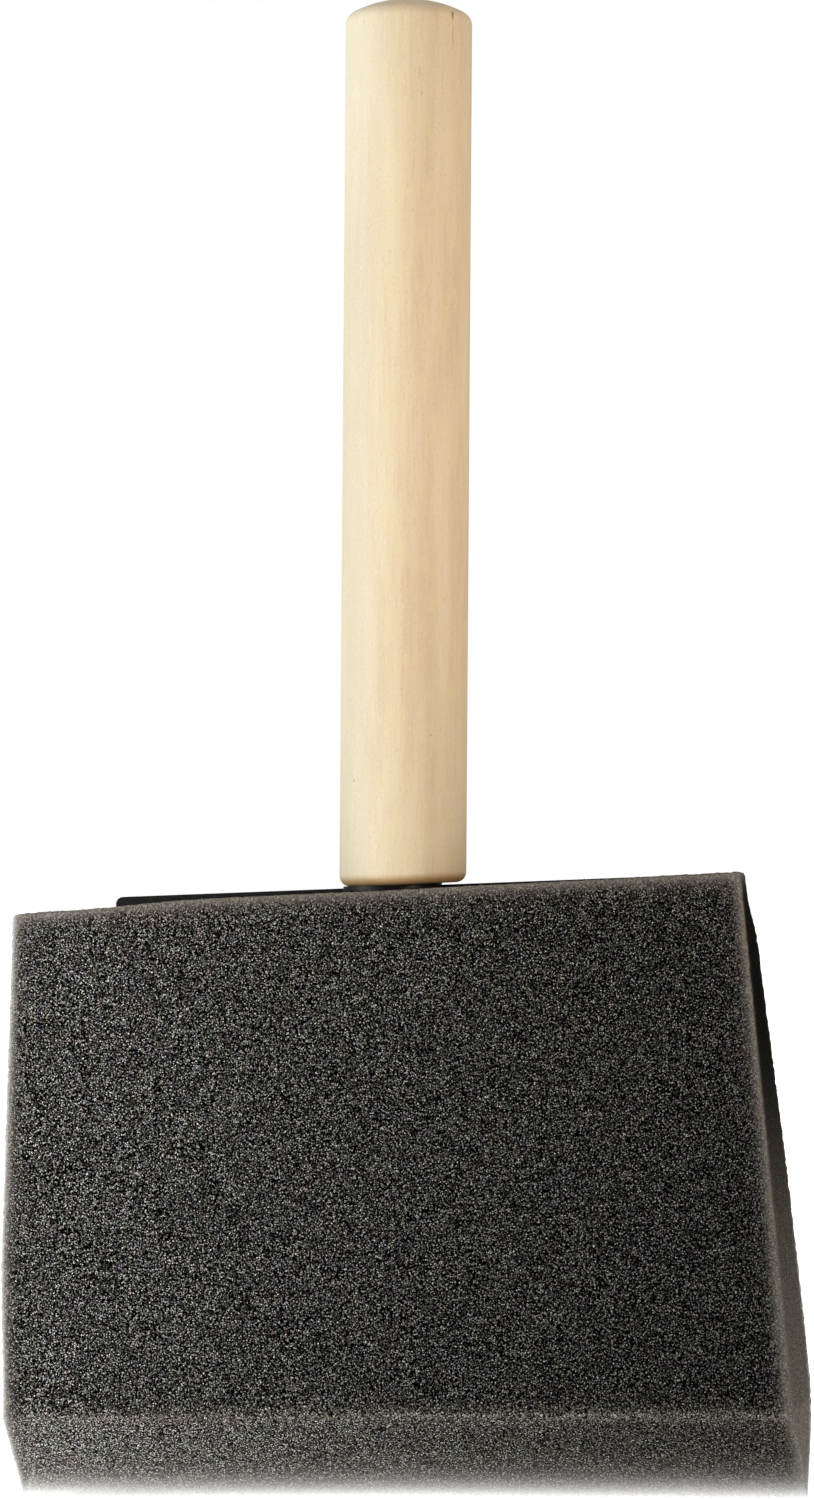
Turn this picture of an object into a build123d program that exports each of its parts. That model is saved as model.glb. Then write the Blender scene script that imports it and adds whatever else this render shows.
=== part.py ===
"""Foam sponge brush: a wooden dowel handle, a moulded insert and a slit foam head with a chisel tip.

The head is one slit block of open-cell foam. A plastic insert fills the slit, held by hot-melt glue
that also runs through the insert's windows. The insert's stem is glued into a blind bore in the
handle. The handle's lower end is sawn slightly out of square, so the whole head leans with it.

Frame: +Z runs up the handle, X across the foam's width, and -Y is the front. The origin is below the
middle of the foam's tip, at the level of its lower corner.
"""

import os
from math import cos, radians, sin

from build123d import *

# Foam head, mm
foam_width = 100.6  # along the tip, a nominal 4 inches cut a little under
foam_top_width = 90.6  # beside the insert, where the glue draws it in
foam_height = 75.8
foam_thickness = 22.0  # at the chisel's shoulder
foam_top_thickness = 18.0
chisel_height = 11.6
tip_thickness = 1.2

# Handle, mm
overall_length = 190.0
handle_diameter = 15.9
dome_height = 2.2
top_round = 1.5
lower_round = 1.3

# How far the assembled brush is out of true
head_lean = 2.75  # degrees, with the right side up
insert_offset = 0.9  # from the foam's middle to the insert's
bore_offset = 1.3  # from the insert's middle to the handle's axis

# Insert, mm
blade_width = 71.4
blade_lower_width = 62.0
blade_thickness = 1.4
blade_depth = 36.0  # below the top of the foam
blade_corner = 6.0
rail_thickness = 2.1
rail_height = 2.6
rail_proud = 0.45  # above the top of the foam
rail_corner = 0.9
window_width = 9.0
window_height = 17.0
window_corner = 2.5
window_pitch = 14.5
window_count = 4
collar_diameter = 12.4
collar_thickness = 0.6
collar_step = 0.25  # above the rail

# Stem, its bore and the glue around it, mm
stem_length = 28.0
stem_core_diameter = 4.0
stem_chamfer = 0.5
fin_span = 7.8
fin_thickness = 1.8
ring_diameter = 8.0
ring_thickness = 1.2
ring_taper = 15.0  # degrees
ring_count = 4
bore_diameter = 8.4
bore_depth = 31.0
glue_above_stem = 1.2

# The head stands on a plane of its own, in the middle of the tip, that leans with it
lean = radians(head_lean)
tip_z = foam_width * sin(lean) / 2
head = Plane(origin=(0, 0, tip_z), x_dir=(cos(lean), 0, sin(lean)), z_dir=(-sin(lean), 0, cos(lean)))
rail_top = foam_height + rail_proud
seat_height = rail_top + collar_step
seat = head.offset(seat_height)

# Planes to draw on, each with the head's height as its own Y: the slit's middle, seen from the front,
# and the foam's middle, seen from the side. The handle has an upright plane of its own.
slit = Plane(origin=head.origin, x_dir=head.x_dir, z_dir=(0, -1, 0))
side = Plane(origin=head.origin, x_dir=(0, 1, 0), z_dir=head.x_dir)
handle_x = seat.origin.X + (insert_offset + bore_offset) * cos(lean)
handle_plane = Plane(origin=(handle_x, 0, 0), x_dir=(1, 0, 0), z_dir=(0, -1, 0))


# Stem: crossed fins on a round core, with tapered rings that grip the bore
with BuildPart() as stem:
    with BuildSketch(seat):
        with Locations((insert_offset, 0)):
            Rectangle(fin_span, fin_thickness)
            Rectangle(fin_thickness, fin_span)
            Circle(stem_core_diameter / 2)
    extrude(amount=stem_length)
    chamfer(stem.faces().sort_by(Axis.Z)[-1].edges(), length=stem_chamfer)
    ring_pitch = stem_length / (ring_count + 1)
    for ring in range(1, ring_count + 1):
        with BuildSketch(seat.offset(ring * ring_pitch)):
            with Locations((insert_offset, 0)):
                Circle(ring_diameter / 2)
        extrude(amount=ring_thickness, taper=ring_taper)

# Blade: the flat plate inside the slit, with its windows still closed
blade_bottom = foam_height - blade_depth
rail_bottom = rail_top - rail_height
with BuildSketch(slit) as blade_outline:
    with BuildLine():
        Polyline(
            (insert_offset - blade_lower_width / 2, blade_bottom),
            (insert_offset + blade_lower_width / 2, blade_bottom),
            (insert_offset + blade_width / 2, rail_bottom),
            (insert_offset - blade_width / 2, rail_bottom),
            close=True,
        )
    make_face()
    fillet(blade_outline.vertices().group_by(Axis.Y)[0], radius=blade_corner)

# Insert: the blade with its windows, the rail along its top, the collar under the handle, and the stem
with BuildPart() as insert:
    extrude(blade_outline.sketch, amount=blade_thickness / 2, both=True)
    with BuildSketch(slit):
        with Locations((insert_offset, (blade_bottom + rail_bottom) / 2)):
            with GridLocations(window_pitch, 0, window_count, 1):
                RectangleRounded(window_width, window_height, window_corner)
    extrude(amount=blade_thickness, both=True, mode=Mode.SUBTRACT)
    with BuildSketch(slit) as rail_outline:
        with Locations((insert_offset, rail_top - rail_height / 2)):
            Rectangle(blade_width, rail_height)
        fillet(rail_outline.vertices().group_by(Axis.Y)[-1], radius=rail_corner)
    extrude(amount=rail_thickness / 2, both=True)
    with BuildSketch(seat):
        with Locations((insert_offset, 0)):
            Circle(collar_diameter / 2)
    extrude(amount=-collar_thickness)
    add(stem.part)
insert.part.label = "insert"

# Glue in the slit: a film on each face of the blade, joined through its windows
with BuildPart() as foam_glue:
    extrude(blade_outline.sketch, amount=rail_thickness / 2, both=True)
    add(insert.part, mode=Mode.SUBTRACT)
foam_glue.part.label = "foam_glue"

# Foam head: the side view's wedge, cut to the front view's outline, and slit for the insert and its glue
with BuildPart() as foam_head:
    with BuildSketch(side):
        with BuildLine():
            Polyline(
                (-tip_thickness / 2, 0),
                (tip_thickness / 2, 0),
                (foam_thickness / 2, chisel_height),
                (foam_top_thickness / 2, foam_height),
                (-foam_top_thickness / 2, foam_height),
                (-foam_thickness / 2, chisel_height),
                close=True,
            )
        make_face()
    extrude(amount=foam_width / 2, both=True)
    with BuildSketch(slit):
        with BuildLine():
            Polyline(
                (-foam_width / 2, 0),
                (foam_width / 2, 0),
                (foam_top_width / 2, foam_height),
                (-foam_top_width / 2, foam_height),
                close=True,
            )
        make_face()
    extrude(amount=foam_thickness, both=True, mode=Mode.INTERSECT)
    add(foam_glue.part, mode=Mode.SUBTRACT)
    add(insert.part, mode=Mode.SUBTRACT)
foam_head.part.label = "foam_head"

# Handle: a domed dowel, its lower end square to the head, with a blind bore for the stem
with BuildPart() as handle:
    with BuildSketch(handle_plane) as handle_profile:
        with BuildLine():
            Line((0, overall_length), (0, foam_height))
            Line((0, foam_height), (handle_diameter / 2, foam_height))
            Line((handle_diameter / 2, foam_height), (handle_diameter / 2, overall_length - dome_height))
            TangentArc(
                (0, overall_length),
                (handle_diameter / 2, overall_length - dome_height),
                tangent=(1, 0),
            )
        make_face()
        rim = handle_profile.vertices().filter_by(lambda v: v.X > 1 and v.Y > overall_length / 2)
        fillet(rim, radius=top_round)
    revolve(axis=Axis((handle_x, 0, 0), (0, 0, 1)))
    split(bisect_by=seat, keep=Keep.TOP)
    fillet(handle.faces().sort_by(Axis.Z)[0].edges(), radius=lower_round)
    with BuildSketch(seat):
        with Locations((insert_offset, 0)):
            Circle(bore_diameter / 2)
    extrude(amount=bore_depth, mode=Mode.SUBTRACT)
handle.part.label = "handle"

# Glue in the bore: it fills the room around the stem and a little above it
with BuildPart() as handle_glue:
    with BuildSketch(seat):
        with Locations((insert_offset, 0)):
            Circle(bore_diameter / 2)
    extrude(amount=stem_length + glue_above_stem)
    add(stem.part, mode=Mode.SUBTRACT)
handle_glue.part.label = "handle_glue"

os.makedirs("parts", exist_ok=True)
for piece in (foam_head, insert, foam_glue, handle, handle_glue):
    export_step(piece.part, f"parts/{piece.part.label}.step")
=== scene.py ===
"""Looks of the foam sponge brush: open-cell foam, pale sanded wood, black moulded plastic and glue.

Lengths in the named values below are millimetres; what is handed to Blender is in metres.
"""

import math

import bpy
import numpy as np
from mathutils import Matrix, Vector


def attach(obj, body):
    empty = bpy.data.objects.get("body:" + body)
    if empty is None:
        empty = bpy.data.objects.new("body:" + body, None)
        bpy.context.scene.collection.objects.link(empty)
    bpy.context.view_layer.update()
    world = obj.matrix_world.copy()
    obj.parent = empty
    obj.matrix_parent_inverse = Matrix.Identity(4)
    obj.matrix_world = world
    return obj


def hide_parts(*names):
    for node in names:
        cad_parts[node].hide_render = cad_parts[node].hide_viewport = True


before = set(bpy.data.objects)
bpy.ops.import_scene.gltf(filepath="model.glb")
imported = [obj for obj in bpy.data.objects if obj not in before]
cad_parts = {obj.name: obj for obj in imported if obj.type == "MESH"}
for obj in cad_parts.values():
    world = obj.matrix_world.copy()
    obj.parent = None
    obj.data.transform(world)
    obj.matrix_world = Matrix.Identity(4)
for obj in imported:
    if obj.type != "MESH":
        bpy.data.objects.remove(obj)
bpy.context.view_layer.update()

MM = 0.001

# The head's own frame: u across, v through, w up from the middle of the tip, leaning with the head
HEAD_LEAN = math.radians(2.75)
FOAM_TIP_HALF = 50.3
FOAM_TOP_HALF = 45.3
FOAM_HEIGHT = 75.8
CHISEL_HEIGHT = 11.6
HALF_THICKNESS = 11.0
TOP_HALF_THICKNESS = 9.0
TIP_HALF_THICKNESS = 0.6
TIP_RISE = FOAM_TIP_HALF * math.sin(HEAD_LEAN)

# The slit that holds the insert
SLIT_MIDDLE = 0.9
SLIT_HALF = 35.8
SLIT_LOWER_HALF = 31.2
SLIT_HALF_THICKNESS = 1.12
SLIT_DEPTH = 36.3

# Steps of the foam's mesh, about half a millimetre, which is one cell of the foam
STEPS_ACROSS = 200
STEPS_THROUGH = 42
STEPS_CHISEL = 32
STEPS_WALL = 128
STEPS_TOP = 16
STEPS_SLIT = 8

# Relief the size of the foam's cells: how far points stand out or in, and how far they are shaken
RELIEF = 0.045
SHAKE = 0.07
SHAKE_THROUGH = 0.4
SEED = 7

# How the soft block sits out of true
TOP_TWIST = math.radians(2.5)
TOP_SHIFT = -0.23
TIP_SHIFT = -0.12
TOP_SLOPE = 0.53 / 50
TIP_SLOPE = -0.8 / 50
TIP_SLOPE_LEFT = -0.35 / 50
CORNER_PINCH = 0.9
CORNER_DROOP = 0.7
END_BULGE = 0.4
LEFT_TUCK = 0.85
RIGHT_TUCK = 0.45

# View: the camera's turn, tilt and roll about the middle of the picture, and its distance
VIEW_TURN = math.radians(11.38)
VIEW_TILT = math.radians(0.99)
VIEW_ROLL = math.radians(-0.41)
VIEW_DISTANCE = 500.0
VIEW_HEIGHT = 95.76
VIEW_SIDE = -1.04
VIEW_LENS = 95.73


def smoothstep(low, high, x):
    """0 below low, 1 above high, and smooth between."""
    t = np.clip((x - low) / (high - low), 0, 1)
    return t * t * (3 - 2 * t)


# ---------------------------------------------------------------- camera, light and floor


def make_camera():
    """The camera, looking along +Y from the front, turned to the brush's right."""
    turn = (
        Matrix.Rotation(VIEW_TURN, 3, "Z")
        @ Matrix.Rotation(VIEW_TILT, 3, "X")
        @ Matrix.Rotation(VIEW_ROLL, 3, "Y")
    )
    place = turn @ Vector((VIEW_SIDE, -VIEW_DISTANCE, 0)) + Vector((0, 0, VIEW_HEIGHT))
    data = bpy.data.cameras.new("camera")
    data.lens = VIEW_LENS
    data.sensor_width = 36
    data.clip_start = 0.01
    camera = bpy.data.objects.new("camera", data)
    camera.matrix_world = Matrix.Translation(place * MM) @ (
        turn @ Matrix.Rotation(math.radians(90), 3, "X")
    ).to_4x4()
    bpy.context.scene.collection.objects.link(camera)
    bpy.context.scene.camera = camera
    return camera


def add_area(name, place, target, size, power, colour):
    """An area light at place, facing target, both in millimetres."""
    data = bpy.data.lights.new(name, "AREA")
    data.shape = "RECTANGLE"
    data.size = size[0] * MM
    data.size_y = size[1] * MM
    data.energy = power
    data.color = colour
    light = bpy.data.objects.new(name, data)
    place = Vector(place) * MM
    target = Vector(target) * MM
    light.location = place
    light.rotation_euler = (target - place).to_track_quat("-Z", "Y").to_euler()
    bpy.context.scene.collection.objects.link(light)
    return light


def make_light():
    """A key on the left, a weak warm fill on the right, and surroundings that are brighter on the left."""
    add_area("key", (-250, -150, 145), (0, 0, 95), (150, 150), 0.82, (0.98, 1.0, 1.0))
    fill = add_area("fill", (250, -150, 165), (0, 0, 140), (80, 150), 0.048, (1.0, 0.83, 0.66))
    fill.data.spread = math.radians(50)
    world = bpy.data.worlds.new("surround")
    world.use_nodes = True
    bpy.context.scene.world = world
    tree = world.node_tree
    direction = node(tree, "TexCoord").outputs["Generated"]
    direction = node(tree, "SeparateXYZ", {0: direction})
    sideways = span(tree, direction.outputs["X"], -0.6, 0.7, 0.40, 0.09)
    above = span(tree, direction.outputs["Z"], 0.45, 1.0, 0.0, 0.5)
    behind = span(tree, direction.outputs["Y"], 0.3, 1.0, 0.0, 0.35)
    strength = math_node(tree, "ADD", math_node(tree, "ADD", sideways, above), behind)
    lit = node(tree, "Background", {"Color": (1.0, 0.99, 0.97, 1), "Strength": strength})
    seen = node(tree, "Background", {"Color": (1, 1, 1, 1), "Strength": 1.0})
    path = node(tree, "LightPath")
    mix = node(
        tree, "MixShader", {0: path.outputs["Is Camera Ray"], 1: lit.outputs[0], 2: seen.outputs[0]}
    )
    tree.links.new(mix.outputs[0], tree.nodes["World Output"].inputs["Surface"])
    bpy.context.scene.view_settings.view_transform = "Standard"


def make_floor():
    """A plain white table, lit a little from within, so that shadows on it stay pale."""
    half = 3.0
    mesh = bpy.data.meshes.new("floor")
    corners = [(-half, -half, 0), (half, -half, 0), (half, half, 0), (-half, half, 0)]
    mesh.from_pydata(corners, [], [(0, 1, 2, 3)])
    floor = bpy.data.objects.new("floor", mesh)
    bpy.context.scene.collection.objects.link(floor)
    material, tree, shader = new_material("floor_white")
    shader.inputs["Base Color"].default_value = (0.88, 0.88, 0.88, 1)
    shader.inputs["Roughness"].default_value = 0.9
    shader.inputs["Emission Color"].default_value = (1, 1, 1, 1)
    seen = node(tree, "LightPath").outputs["Is Camera Ray"]
    tree.links.new(span(tree, seen, 0, 1, 0.3, 0.95, smooth=False), shader.inputs["Emission Strength"])
    mesh.materials.append(material)


# ---------------------------------------------------------------- node helpers


def new_material(name):
    """A node material with its tree and its Principled shader."""
    material = bpy.data.materials.new(name)
    material.use_nodes = True
    tree = material.node_tree
    return material, tree, tree.nodes["Principled BSDF"]


def node(tree, kind, inputs=None, **settings):
    """A node of the given kind, with its settings, and its inputs set or linked by name or number."""
    made = tree.nodes.new("ShaderNode" + kind)
    for name, value in settings.items():
        setattr(made, name, value)
    for name, value in (inputs or {}).items():
        if isinstance(value, bpy.types.NodeSocket):
            tree.links.new(value, made.inputs[name])
        else:
            made.inputs[name].default_value = value
    return made


def math_node(tree, operation, a, b=0.5, third=0.5):
    """The output of a Math node on two or three numbers or sockets."""
    return node(tree, "Math", {0: a, 1: b, 2: third}, operation=operation).outputs[0]


def span(tree, value, low, high, out_low=0.0, out_high=1.0, smooth=True):
    """value mapped from low..high to out_low..out_high, clamped."""
    kind = "SMOOTHSTEP" if smooth else "LINEAR"
    made = node(
        tree,
        "MapRange",
        {"Value": value, "From Min": low, "From Max": high, "To Min": out_low, "To Max": out_high},
        interpolation_type=kind,
    )
    return made.outputs["Result"]


def blend_colour(tree, share, a, b, mode="MIX"):
    """Colours a and b mixed by share; each is a socket or an RGB tuple."""
    made = node(tree, "Mix", data_type="RGBA", blend_type=mode, clamp_result=True)
    for index, value in ((0, share), (6, a), (7, b)):
        if isinstance(value, bpy.types.NodeSocket):
            tree.links.new(value, made.inputs[index])
        elif isinstance(value, tuple):
            made.inputs[index].default_value = (*value, 1)
        else:
            made.inputs[index].default_value = value
    return made.outputs[2]


def in_millimetres(tree, stretch=(1, 1, 1)):
    """Object coordinates in millimetres, divided by a stretch along each axis."""
    coordinates = node(tree, "TexCoord")
    scale = tuple(1000 / s for s in stretch)
    return node(tree, "Mapping", {"Vector": coordinates.outputs["Object"], "Scale": scale}).outputs[0]


def stretched_noise(tree, stretch, detail):
    """Noise whose features are about stretch millimetres along each axis."""
    place = in_millimetres(tree, stretch)
    return node(tree, "TexNoise", {"Vector": place, "Scale": 1.0, "Detail": detail}).outputs["Fac"]


def spot(tree, place, centre, size):
    """1 at the centre of a small ellipsoid and 0 outside it, in millimetres."""
    offset = node(tree, "VectorMath", {0: place, 1: centre}, operation="SUBTRACT").outputs[0]
    scaled = node(tree, "VectorMath", {0: offset, 1: size}, operation="DIVIDE").outputs[0]
    length = node(tree, "VectorMath", {0: scaled}, operation="LENGTH").outputs["Value"]
    return span(tree, length, 1.0, 0.2)


# ---------------------------------------------------------------- foam


def foam_half_width(w):
    """Half the block's width at height w."""
    return FOAM_TIP_HALF + (FOAM_TOP_HALF - FOAM_TIP_HALF) * w / FOAM_HEIGHT


def foam_half_thickness(w):
    """Half the block's thickness at height w: the chisel, then a slow taper to the top."""
    chisel = TIP_HALF_THICKNESS + (HALF_THICKNESS - TIP_HALF_THICKNESS) * w / CHISEL_HEIGHT
    share = (w - CHISEL_HEIGHT) / (FOAM_HEIGHT - CHISEL_HEIGHT)
    wall = HALF_THICKNESS + (TOP_HALF_THICKNESS - HALF_THICKNESS) * share
    return np.where(w < CHISEL_HEIGHT, chisel, wall)


def rectangle_ring(half_width, half_thickness, w, middle=0.0):
    """Points round a rectangle at height w, the same number on each side, from the front left corner."""
    across = np.linspace(-1, 1, STEPS_ACROSS, endpoint=False)
    through = np.linspace(-1, 1, STEPS_THROUGH, endpoint=False)
    u = np.concatenate([across, np.ones(STEPS_THROUGH), -across, -np.ones(STEPS_THROUGH)])
    v = np.concatenate([-np.ones(STEPS_ACROSS), through, np.ones(STEPS_ACROSS), -through])
    return np.stack([middle + u * half_width, v * half_thickness, np.full(len(u), w)], axis=1)


def foam_rings():
    """The closed surface as rings: up the outside, in over the top and down into the slit."""
    heights = np.concatenate(
        [
            np.linspace(0, CHISEL_HEIGHT, STEPS_CHISEL, endpoint=False),
            np.linspace(CHISEL_HEIGHT, FOAM_HEIGHT, STEPS_WALL + 1),
        ]
    )
    rings = [rectangle_ring(foam_half_width(w), foam_half_thickness(w), w) for w in heights]
    rim = rings[-1]
    mouth = rectangle_ring(SLIT_HALF, SLIT_HALF_THICKNESS, FOAM_HEIGHT, SLIT_MIDDLE)
    for share in np.linspace(0, 1, STEPS_TOP + 1)[1:]:
        rings.append(rim + (mouth - rim) * share)
    for share in np.linspace(0, 1, STEPS_SLIT + 1)[1:]:
        half = SLIT_HALF + (SLIT_LOWER_HALF - SLIT_HALF) * share
        depth = FOAM_HEIGHT - SLIT_DEPTH * share
        rings.append(rectangle_ring(half, SLIT_HALF_THICKNESS, depth, SLIT_MIDDLE))
    return np.array(rings)


def seam_line(ring, w):
    """The middle line that closes a ring, and for each of the ring's points the line's point it joins."""
    front = ring[: STEPS_ACROSS + 1]
    line = front.copy()
    line[:, 1] = 0
    line[:, 2] = w
    joins = np.concatenate(
        [
            np.arange(STEPS_ACROSS),
            np.full(STEPS_THROUGH, STEPS_ACROSS),
            np.arange(STEPS_ACROSS, 0, -1),
            np.zeros(STEPS_THROUGH, int),
        ]
    )
    return line, joins


def seam_faces(ring, joins, flip):
    """Faces between a ring and its middle line, where each point of the ring joins joins[k]."""
    faces = []
    corners = np.stack([ring, np.roll(ring, -1), np.roll(joins, -1), joins], axis=1)
    for a, b, c, d in corners.tolist():
        face = [a, b, c] if c == d else [a, b, c, d]
        faces.append(face[::-1] if flip else face)
    return faces


def smooth_rings(rings, passes, upto):
    """Rounds the block's edges a little: each point moves towards the mean of its four neighbours."""
    for _ in range(passes):
        moved = rings.copy()
        around = (np.roll(rings, 1, axis=1) + np.roll(rings, -1, axis=1)) / 2
        moved[1:upto] = (rings[1:upto] + around[1:upto] + (rings[: upto - 1] + rings[2 : upto + 1]) / 2) / 3
        rings = moved
    return rings


def ring_normals(rings):
    """Outward normals of the ring surface."""
    along = np.roll(rings, -1, axis=1) - np.roll(rings, 1, axis=1)
    up = np.empty_like(rings)
    up[1:-1] = rings[2:] - rings[:-2]
    up[0] = rings[1] - rings[0]
    up[-1] = rings[-1] - rings[-2]
    normal = np.cross(along, up)
    return normal / np.maximum(np.linalg.norm(normal, axis=2, keepdims=True), 1e-9)


def foam_looks(rings):
    """How each point of the untwisted block looks: glow, hole, thin, tone and grain, from 0 to 1 or so.

    glow is painted light, standing for light let through thin foam at the edges, over the top face, along
    the chisel's line and at the tip; hole is how much of each pore is see-through, thin is how much of the
    whole surface is; tone is painted light and shade that scales the charcoal; and grain is the contrast of
    the pores.
    """
    u, v, w = rings[..., 0], rings[..., 1], rings[..., 2]
    side = foam_half_width(w) - np.abs(u)
    face = foam_half_thickness(w) - np.abs(v)
    top = FOAM_HEIGHT - w
    upright = np.hypot(side, face)
    rim = np.hypot(top, np.minimum(side, face))
    on_side = smoothstep(0.6, 0.0, side) * smoothstep(0.0, 0.6, face)
    left = smoothstep(1, -1, u)
    low = smoothstep(48, 18, w)

    # Painted light let through thin foam: along the upright edges, stronger on the left; at the rim and
    # over the top face; along the chisel's line; and at the tip
    at_upright = left * np.minimum(1.3 * np.exp(-upright / 0.52), 0.9)
    at_upright = at_upright + (1 - left) * (0.6 + 0.25 * low) * np.exp(-upright / 0.7)
    on_top = smoothstep(0.6, 0.0, top) * smoothstep(0.0, 0.6, np.minimum(side, face))
    at_rim = (1 - on_top) * 0.5 * np.exp(-rim / 0.8) + on_top * (0.25 + 0.55 * np.exp(-rim / 1.5))
    line_glow = 0.45 * np.exp(-np.abs(w - CHISEL_HEIGHT) / 0.55)
    at_bevel = (1 - on_side) * (line_glow + 0.05 * (w < CHISEL_HEIGHT))
    at_tip = np.exp(-w / 2.6)
    painted_glow = 1 - (1 - at_upright) * (1 - at_rim) * (1 - at_bevel) * (1 - at_tip)

    depth = np.where(side < 0.3, 1.2 + 1.3 * left, 0.4)
    amount = left * 0.8 + (1 - left) * low * np.where(v > 0, 0.8, 0.25)
    hole = np.maximum(amount * np.exp(-upright / depth), 0.15 * np.exp(-rim / 0.7))
    thin = np.exp(-((np.maximum(w, 0) / 2.15) ** 1.15))
    # Painted shade on the right end wall: dark near the top and much lighter towards the tip; the left end
    # wall keeps its tone
    painted_end_wall_shade = (0.35 + 5.7 * smoothstep(58, 5, w)) * (1 - left) + left
    # Painted light and shade: the charcoal falls off from left to right, and the end walls take the painted
    # shade above
    tone = 1.2 * np.exp(-0.55 * u / FOAM_TIP_HALF) * (1 - on_side + on_side * painted_end_wall_shade)
    # Painted light on the chisel, stronger towards the left
    chiselled = smoothstep(CHISEL_HEIGHT + 0.4, CHISEL_HEIGHT - 0.4, w)
    tone = tone * (1 + chiselled * (1.85 * np.exp(-0.3 * u / FOAM_TIP_HALF) - 1))
    soft = np.clip(2.5 * ((1 - left) * at_upright + at_rim) + left * 0.75 * np.exp(-upright / 1.3), 0, 0.6)
    grain = (1 - 0.78 * on_side) * (1 - soft)
    return {"painted_glow": painted_glow, "hole": hole, "thin": thin, "tone": tone, "grain": grain}


# The two lines that close the mesh, along the tip and under the slit: their heights and looks
TIP_LINE = -0.15
SLIT_LINE = FOAM_HEIGHT - SLIT_DEPTH - 0.2
SLIT_SEAM = {"painted_glow": 0.0, "hole": 0.0, "thin": 0.0, "tone": 1.0, "grain": 1.0}
TIP_SEAM = {"painted_glow": 1.0, "hole": 0.9, "thin": 1.0, "tone": 1.0, "grain": 0.5}


def end_wall_gap(rings):
    """How far in from the block's end walls each point of the untwisted block is, in millimetres."""
    return foam_half_width(rings[..., 2]) - np.abs(rings[..., 0])


def end_bow(u, v, w):
    """How far each end wall bows sideways: it bulges above, and tucks in towards the chisel and the tip."""
    left = -END_BULGE + LEFT_TUCK * smoothstep(32, 10, w)
    right = END_BULGE * smoothstep(3, 20, w) * smoothstep(68, 36, w) - RIGHT_TUCK * smoothstep(8, 0, w)
    right = right * smoothstep(-HALF_THICKNESS, 0, v)
    return np.where(u < 0, left, right) * smoothstep(20, FOAM_TOP_HALF, np.abs(u))


def settle(points, loose=1.0):
    """The soft block out of true: shifted, sloped, drooped, bowed, twisted and pinched at one top corner.

    loose is 0 where the insert holds the foam, so that the slit stays round it, and 1 outside.
    """
    share = points[..., 2] / FOAM_HEIGHT
    u = points[..., 0] + (TIP_SHIFT + (TOP_SHIFT - TIP_SHIFT) * share) * loose
    v = points[..., 1]
    tip_slope = np.where(u < 0, TIP_SLOPE_LEFT, TIP_SLOPE)
    w = points[..., 2] + u * (tip_slope + (TOP_SLOPE - tip_slope) * share)
    back_right = smoothstep(-2, TOP_HALF_THICKNESS, v) * smoothstep(20, FOAM_TOP_HALF, u)
    w = w - CORNER_DROOP * smoothstep(-22, -41, u) * share**4
    u = u - CORNER_PINCH * back_right * smoothstep(0.87, 1.0, share)
    u = u + end_bow(u, v, points[..., 2])
    twist = TOP_TWIST * share * loose
    across = u * np.cos(twist) - v * np.sin(twist)
    through = u * np.sin(twist) + v * np.cos(twist)
    return np.stack([across, through, w], axis=-1)


def to_row(points):
    """From the head's frame, in millimetres, to the row frame, in metres."""
    c, s = math.cos(HEAD_LEAN), math.sin(HEAD_LEAN)
    u, v, w = points[..., 0], points[..., 1], points[..., 2]
    return np.stack([u * c - w * s, v, TIP_RISE + u * s + w * c], axis=-1) * MM


def make_foam():
    """The foam head: a closed mesh with cell-sized relief, and its looks as attributes."""
    rng = np.random.default_rng(SEED)
    rings = foam_rings()
    outside = STEPS_CHISEL + STEPS_WALL + STEPS_TOP
    looks = foam_looks(rings)
    rings = smooth_rings(rings, 1, outside)
    normals = ring_normals(rings)
    count, around = rings.shape[:2]
    relief = rng.normal(0, RELIEF, (count, around))
    crowd = np.abs(rings[..., 1]).max(axis=1, keepdims=True) / HALF_THICKNESS
    calm = np.where(end_wall_gap(rings) < 0.3, np.minimum(crowd, 1), 1)
    fade = 1 - smoothstep(outside - 3, outside, np.arange(count))[:, None]
    loose = 1 - smoothstep(outside - STEPS_TOP, outside, np.arange(count))[:, None]
    rings = settle(rings, loose) + normals * (relief * calm * fade)[..., None]
    jitter = rng.uniform(-SHAKE, SHAKE, (count, around, 3)) * (calm * fade)[..., None]
    jitter[..., 1] *= SHAKE_THROUGH
    rings = rings + jitter

    points = rings.reshape(-1, 3)
    index = np.arange(count * around).reshape(count, around)
    nxt = np.roll(index, -1, axis=1)
    quads = np.stack([index[:-1], nxt[:-1], nxt[1:], index[1:]], axis=-1).reshape(-1, 4)
    faces = quads.tolist()
    looks = {name: [values.reshape(-1)] for name, values in looks.items()}
    plain_rings = foam_rings()
    ends = ((0, TIP_LINE, TIP_SEAM), (count - 1, SLIT_LINE, SLIT_SEAM))
    for ring_index, w, seam in ends:
        line, joins = seam_line(plain_rings[ring_index], w)
        at_tip = seam is TIP_SEAM
        faces += seam_faces(index[ring_index], len(points) + joins, flip=at_tip)
        points = np.concatenate([points, settle(line, float(at_tip))])
        for name, value in seam.items():
            looks[name].append(np.full(len(line), value))

    mesh = bpy.data.meshes.new("foam_head_soft")
    mesh.from_pydata(to_row(points).tolist(), [], faces)
    mesh.validate()
    mesh.shade_smooth()
    for name, values in looks.items():
        attribute = mesh.attributes.new(name, "FLOAT", "POINT")
        attribute.data.foreach_set("value", np.concatenate(values).astype(np.float32))
    foam = bpy.data.objects.new("foam_head_soft", mesh)
    bpy.context.scene.collection.objects.link(foam)
    mesh.materials.append(foam_material())
    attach(foam, "root")
    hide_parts("foam_head")
    return foam


# Charcoal brightness is a power of how far a point stands out of its pore, from the deepest pore seen;
# the darkness of the pores is painted shade
DEEPEST_PORE = 0.14
CHARCOAL_POWER = 2.15
CHARCOAL_BRIGHTEST = 0.9
# A few cells on the front that catch more light
GLINT_AT = (19.7, -10.3, 60.7)
GLINT_SIZE = (0.75, 2.5, 1.4)


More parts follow.
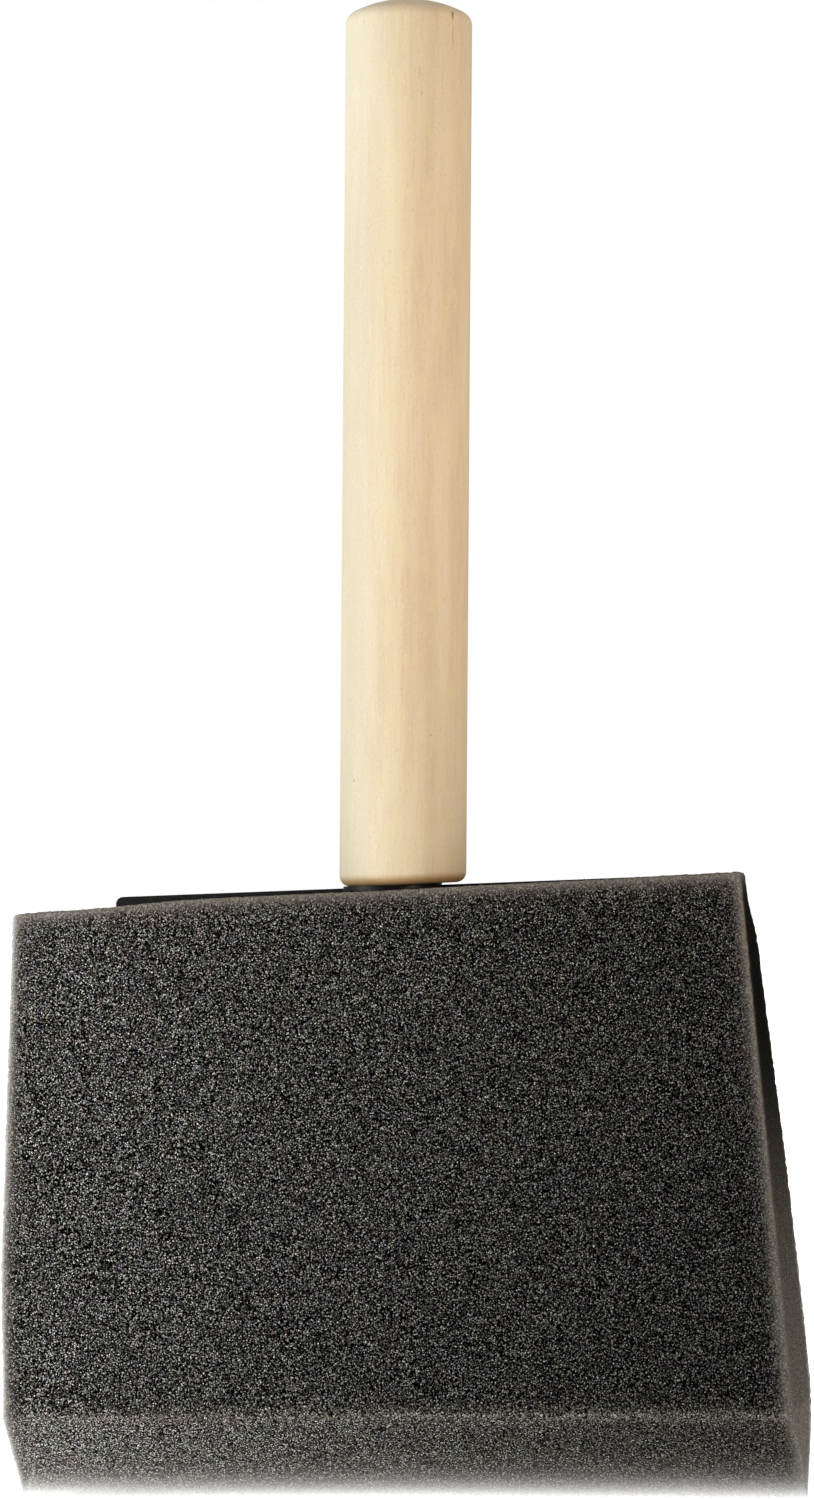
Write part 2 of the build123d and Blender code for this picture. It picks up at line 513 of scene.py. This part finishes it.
def foam_material():
    """Charcoal open-cell foam: lit cell walls over pores in painted shade; painted light and see-through at
    thin edges.
    """
    material, tree, shader = new_material("foam_charcoal")
    place = in_millimetres(tree)
    warp = node(tree, "TexNoise", {"Vector": place, "Scale": 1.6, "Detail": 1.0})
    bend = {0: warp.outputs["Color"], 1: (0.3, 0.3, 0.3), 2: place}
    bent = node(tree, "VectorMath", bend, operation="MULTIPLY_ADD")
    cells = node(tree, "TexVoronoi", {"Vector": bent.outputs[0], "Scale": 4.5})
    chance = node(tree, "SeparateXYZ", {0: cells.outputs["Color"]})
    dot = span(tree, cells.outputs["Distance"], 0.62, 0.1)
    strength = span(tree, chance.outputs[0], 0, 1, 0.3, 1, smooth=False)
    dots = math_node(tree, "MULTIPLY", dot, strength)
    worm = node(tree, "TexNoise", {"Vector": place, "Scale": 4.3, "Detail": 1.0, "Roughness": 0.6})
    worm = span(tree, worm.outputs["Fac"], 0.32, 0.72, smooth=False)
    dots = math_node(tree, "MULTIPLY", dots, 0.6)
    worm = math_node(tree, "MULTIPLY", worm, 0.4)
    speck = math_node(tree, "ADD", dots, worm)
    painted_glow, hole, thin, tone, grain = (
        node(tree, "Attribute", attribute_name=name).outputs["Fac"]
        for name in ("painted_glow", "hole", "thin", "tone", "grain")
    )
    glint = math_node(tree, "MULTIPLY_ADD", spot(tree, place, GLINT_AT, GLINT_SIZE), 2.5, third=1.0)
    tone = math_node(tree, "MULTIPLY", tone, glint)
    even = math_node(tree, "SUBTRACT", speck, 0.36)
    seen = math_node(tree, "ADD", math_node(tree, "MULTIPLY", even, grain), 0.36)
    raised = span(tree, seen, DEEPEST_PORE, 1.0, smooth=False)
    grey = math_node(tree, "MULTIPLY", math_node(tree, "POWER", raised, CHARCOAL_POWER), CHARCOAL_BRIGHTEST)
    tint = node(tree, "TexNoise", {"Vector": place, "Scale": 0.9, "Detail": 2.0}).outputs["Color"]
    grey = blend_colour(tree, 0.25, grey, tint, "SOFT_LIGHT")
    warmth = blend_colour(tree, grain, (1.0, 0.89, 0.77), (1.0, 0.975, 0.925))
    # Painted light and shade: tone, with the glint, scales the charcoal, warmer where the grain is soft
    shade = node(tree, "VectorMath", {0: warmth, "Scale": tone}, operation="SCALE")
    grey = blend_colour(tree, 1.0, grey, shade.outputs[0], "MULTIPLY")
    # Painted light let through thin foam: a warm pale colour, mixed in by the glow
    light = span(tree, seen, 0.1, 0.8, smooth=False)
    light = blend_colour(tree, 1.0, light, (1.0, 0.91, 0.78), "MULTIPLY")
    colour = blend_colour(tree, painted_glow, grey, light)
    tree.links.new(colour, shader.inputs["Base Color"])
    shader.inputs["Roughness"].default_value = 0.8
    shader.inputs["Specular IOR Level"].default_value = 0.0
    bump = node(tree, "Bump", {"Height": speck, "Distance": 0.0002, "Strength": 0.5})
    tree.links.new(bump.outputs[0], shader.inputs["Normal"])
    hole = math_node(tree, "MULTIPLY", hole, span(tree, speck, 0.75, 0.25))
    thin = math_node(tree, "MULTIPLY", thin, span(tree, speck, 0.75, 0.25, 0.75, 1.0))
    hole = math_node(tree, "MAXIMUM", hole, thin)
    clear = node(tree, "BsdfTransparent")
    mix = node(tree, "MixShader", {0: hole, 1: shader.outputs[0], 2: clear.outputs[0]})
    tree.links.new(mix.outputs[0], tree.nodes["Material Output"].inputs["Surface"])
    return material


# ---------------------------------------------------------------- wood, plastic and glue


# Where the handle's wood is marked: centre, half sizes and strength
WOOD_MARKS = (
    ((5.0, -4.6, 187.4), (0.2, 0.35, 1.3), 0.95),
    ((5.05, -4.6, 184.6), (0.14, 0.2, 2.6), 0.4),
    ((1.4, -7.4, 179.6), (0.1, 0.3, 1.2), 0.35),
    ((1.7, -7.35, 177.0), (0.13, 0.3, 0.45), 0.4),
    ((-0.45, -7.8, 188.2), (0.12, 0.4, 1.2), 0.45),
    ((-6.5, -6.1, 91.8), (0.25, 0.3, 0.25), 0.6),
    ((3.2, -6.4, 97.5), (0.2, 0.3, 0.2), 0.4),
    ((0.3, 7.7, 140.0), (0.15, 0.3, 2.2), 0.4),
    ((-5.8, 6.6, 112.0), (0.2, 0.3, 0.3), 0.5),
)


def wood_material():
    """Pale sanded birch: fine upright grain, faint streaks, small dark pores, a crack and a few pits, a
    painted sheen and shade on the left side, and a darker orange-brown band at the bottom end.
    """
    material, tree, shader = new_material("birch_sanded")
    place = in_millimetres(tree)
    grain = stretched_noise(tree, (0.35, 0.35, 5), 4.0)
    streak = stretched_noise(tree, (2.2, 2.2, 26), 3.0)
    fleck = stretched_noise(tree, (0.18, 0.18, 0.45), 2.0)
    patch = stretched_noise(tree, (1.5, 1.5, 3.5), 3.0)
    where = node(tree, "SeparateXYZ", {0: place})
    tone = blend_colour(
        tree, span(tree, streak, 0.3, 0.7), (0.62, 0.485, 0.325), (0.69, 0.57, 0.40)
    )
    tone = blend_colour(tree, span(tree, patch, 0.45, 0.7, 0, 0.55), tone, (0.68, 0.56, 0.33))
    # Painted sheen on the left side of the handle: creamier towards the left, with the cream darker below
    # the upper part as painted shade
    upper = span(tree, where.outputs["Z"], 152, 178)
    painted_lit_side = blend_colour(tree, upper, (0.46, 0.43, 0.325), (0.56, 0.53, 0.42))
    tone = blend_colour(tree, span(tree, where.outputs["X"], 1, -8.5, 0, 0.7), tone, painted_lit_side)
    tone = blend_colour(tree, span(tree, grain, 0.5, 0.8, 0, 0.4), tone, (0.55, 0.41, 0.24))
    tone = blend_colour(tree, span(tree, fleck, 0.58, 0.75, 0, 0.4), tone, (0.45, 0.31, 0.16))
    tone = blend_colour(tree, span(tree, fleck, 0.42, 0.25, 0, 0.35), tone, (0.78, 0.69, 0.54))
    for centre, size, amount in WOOD_MARKS:
        mark = math_node(tree, "MULTIPLY", spot(tree, place, centre, size), amount)
        tone = blend_colour(tree, mark, tone, (0.20, 0.10, 0.03))
    # Darker and more orange-brown in a band along the handle's bottom end, leaning with the head
    lean_rise = math_node(tree, "MULTIPLY", where.outputs["X"], HEAD_LEAN)
    leaned = math_node(tree, "SUBTRACT", where.outputs["Z"], lean_rise)
    darker_bottom_band = span(tree, leaned, 80.5, 79.4, 0, 0.85)
    tone = blend_colour(tree, darker_bottom_band, tone, (0.42, 0.24, 0.09))
    tree.links.new(tone, shader.inputs["Base Color"])
    shader.inputs["Roughness"].default_value = 0.6
    shader.inputs["Specular IOR Level"].default_value = 0.3
    bump = node(tree, "Bump", {"Height": grain, "Distance": 0.0001, "Strength": 0.35})
    tree.links.new(bump.outputs[0], shader.inputs["Normal"])
    return material


def plastic_material():
    """Black moulded plastic with a fine matt texture."""
    material, tree, shader = new_material("plastic_black")
    speck = node(tree, "TexNoise", {"Vector": in_millimetres(tree), "Scale": 4.0, "Detail": 3.0})
    dusty = span(tree, speck.outputs["Fac"], 0.4, 0.8)
    tone = blend_colour(tree, dusty, (0.003, 0.003, 0.003), (0.01, 0.01, 0.01))
    tree.links.new(tone, shader.inputs["Base Color"])
    tree.links.new(span(tree, speck.outputs["Fac"], 0.3, 0.7, 0.35, 0.55), shader.inputs["Roughness"])
    shader.inputs["Specular IOR Level"].default_value = 0.2
    bump = node(tree, "Bump", {"Height": speck.outputs["Fac"], "Distance": 0.00005, "Strength": 0.3})
    tree.links.new(bump.outputs[0], shader.inputs["Normal"])
    return material


def glue_material(name, colour):
    """Cured glue: milky, slightly uneven and glossy."""
    material, tree, shader = new_material(name)
    cloud = node(tree, "TexNoise", {"Vector": in_millimetres(tree), "Scale": 0.4, "Detail": 2.0})
    darker = tuple(0.8 * c for c in colour)
    tree.links.new(blend_colour(tree, cloud.outputs["Fac"], darker, colour), shader.inputs["Base Color"])
    shader.inputs["Roughness"].default_value = 0.35
    bump = node(tree, "Bump", {"Height": cloud.outputs["Fac"], "Distance": 0.0003, "Strength": 0.4})
    tree.links.new(bump.outputs[0], shader.inputs["Normal"])
    return material


def dress_cad_nodes():
    """Materials for the CAD pieces that show as they are."""
    looks = {
        "handle": wood_material(),
        "insert": plastic_material(),
        "foam_glue": glue_material("glue_hot_melt", (0.72, 0.68, 0.56)),
        "handle_glue": glue_material("glue_wood", (0.76, 0.70, 0.52)),
    }
    for name, material in looks.items():
        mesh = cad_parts[name].data
        mesh.materials.clear()
        mesh.materials.append(material)
        mesh.shade_smooth()


make_camera()
make_light()
make_floor()
dress_cad_nodes()
make_foam()

bpy.context.view_layer.update()
